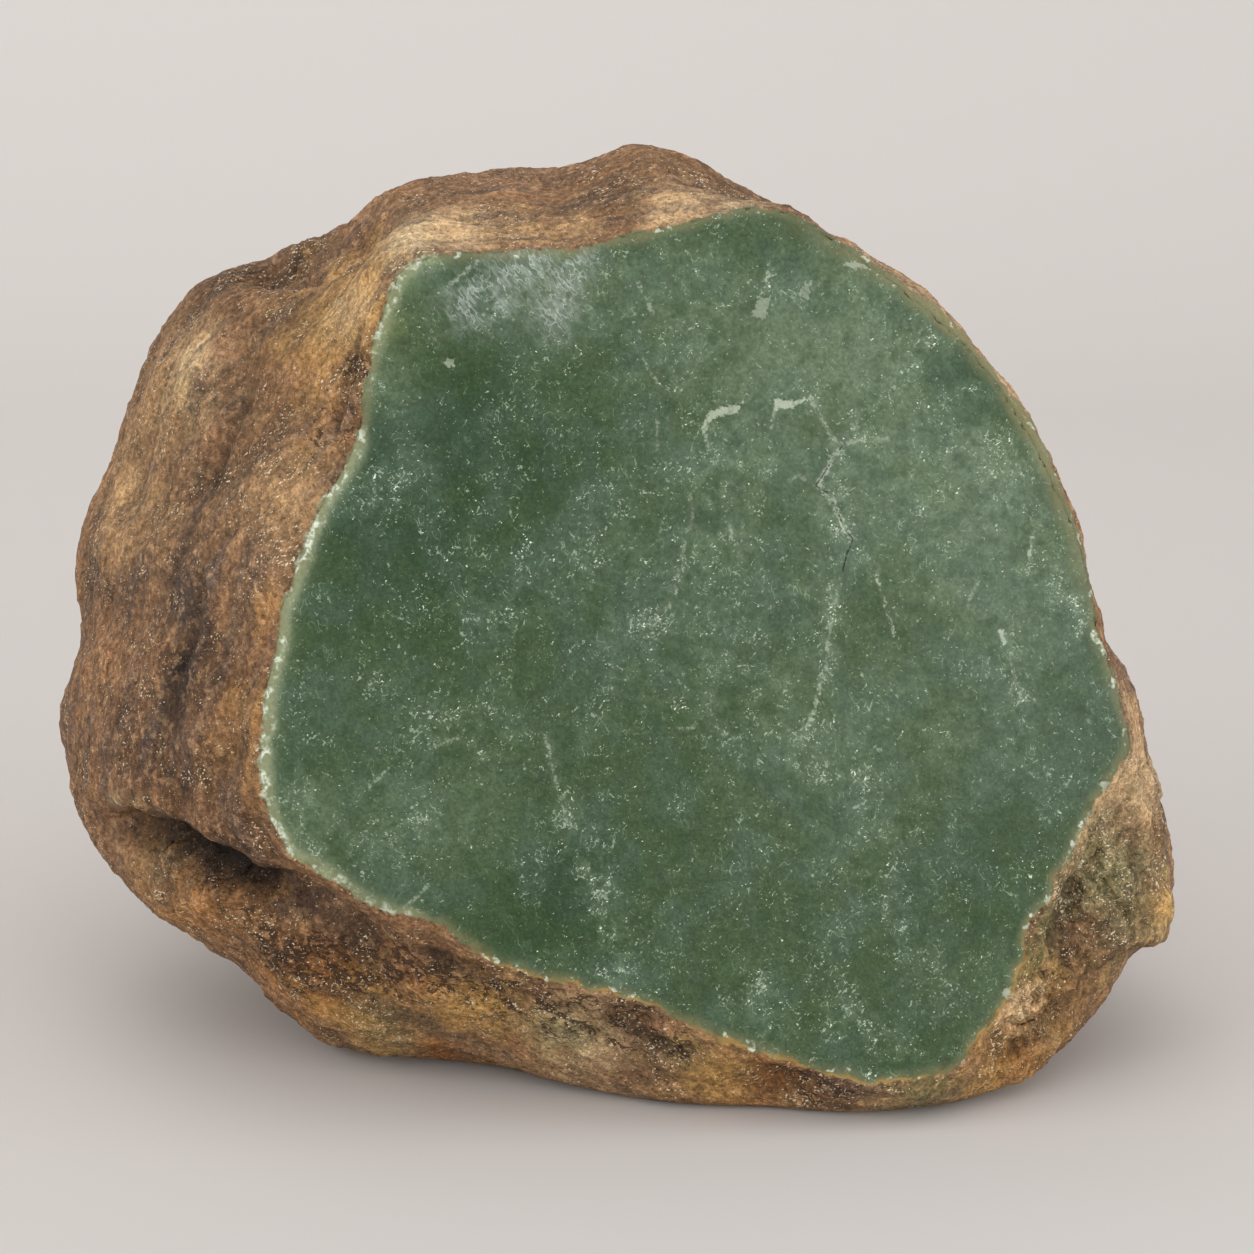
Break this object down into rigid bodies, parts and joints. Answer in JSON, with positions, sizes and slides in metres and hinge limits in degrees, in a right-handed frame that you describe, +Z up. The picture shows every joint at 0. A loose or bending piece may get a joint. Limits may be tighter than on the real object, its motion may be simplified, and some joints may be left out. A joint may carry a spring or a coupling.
{
  "type": "raw jade boulder",
  "caption": "Water-worn jade boulder with a brown rind and a broad, nearly flat window of bare green jade, leaning back slightly on a flat underside.",
  "frame": {"origin": "bottom centre of the stone's box, on the surface that it rests on", "axes": "+Z up, +X along the stone's length to the right of the window seen from its front, -Y the way the window faces"},
  "size_m": [0.2774, 0.1742, 0.2192],
  "materials": {
    "jade_and_rind": "green jade with pale flecks, bare and softly glossy on the window, under a dull brown and ochre weathered rind everywhere else"
  },
  "bodies": {
    "root": {"jade_boulder": "jade_and_rind"}
  },
  "joints": []
}
